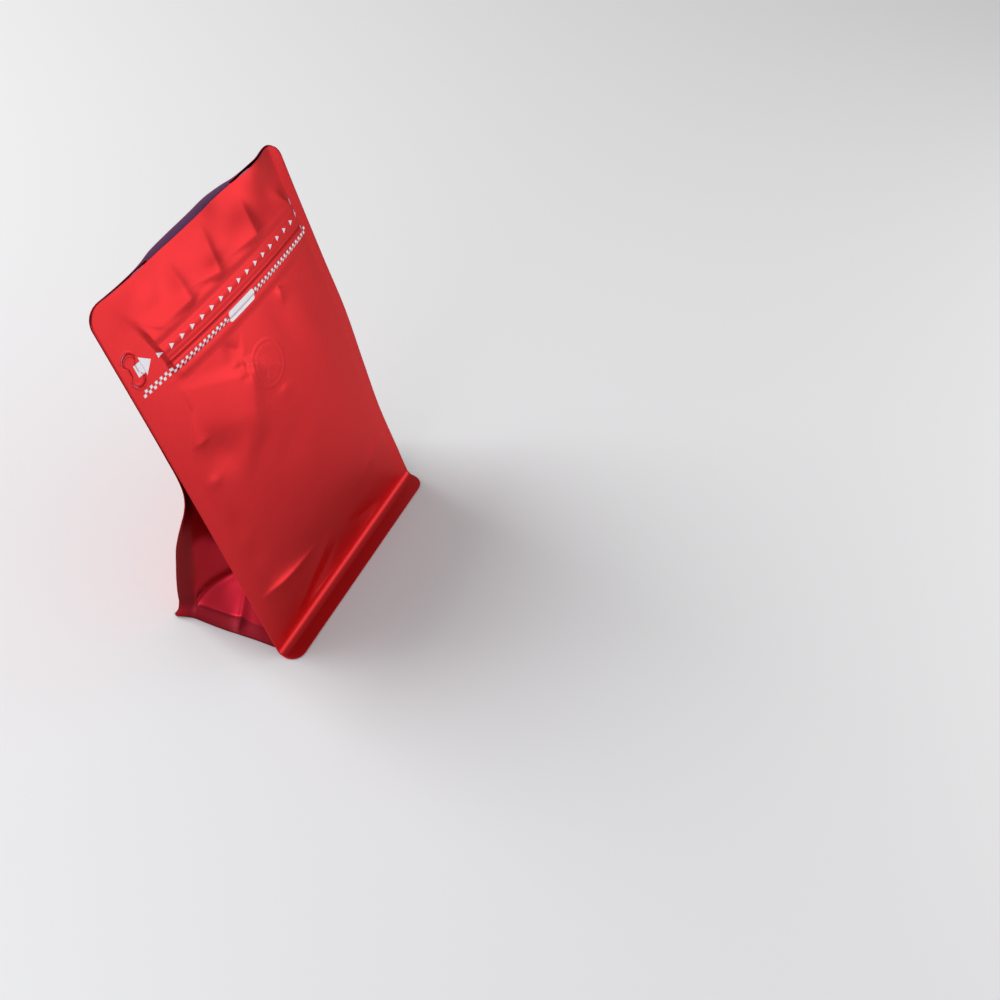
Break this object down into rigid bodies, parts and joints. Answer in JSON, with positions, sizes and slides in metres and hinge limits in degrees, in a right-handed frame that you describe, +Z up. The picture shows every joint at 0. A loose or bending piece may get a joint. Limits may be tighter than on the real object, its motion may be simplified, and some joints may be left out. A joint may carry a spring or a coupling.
{
  "type": "flat-bottomed foil coffee bag with valve",
  "caption": "Empty flat-bottomed foil coffee bag standing open, with folded side gussets, a zip band with a tear tab, and a round degassing valve.",
  "frame": {"origin": "middle of the base's flat underside, halfway between the front and back fold lines", "axes": "+Z up; +X along the bag's width, to the right as seen from the front; -Y towards the printed front"},
  "size_m": [0.13, 0.0736, 0.1929],
  "materials": {
    "red_film": "satin metallic red laminate",
    "inner_foil": "satin metallised lining",
    "white_print": "matt white ink"
  },
  "bodies": {
    "root": {"base_panel": "red_film", "front_panel": "red_film", "back_panel": "red_film", "left_gusset": "red_film", "right_gusset": "red_film", "zip_band": "red_film", "tear_tab": "red_film", "valve": "red_film"}
  },
  "joints": []
}
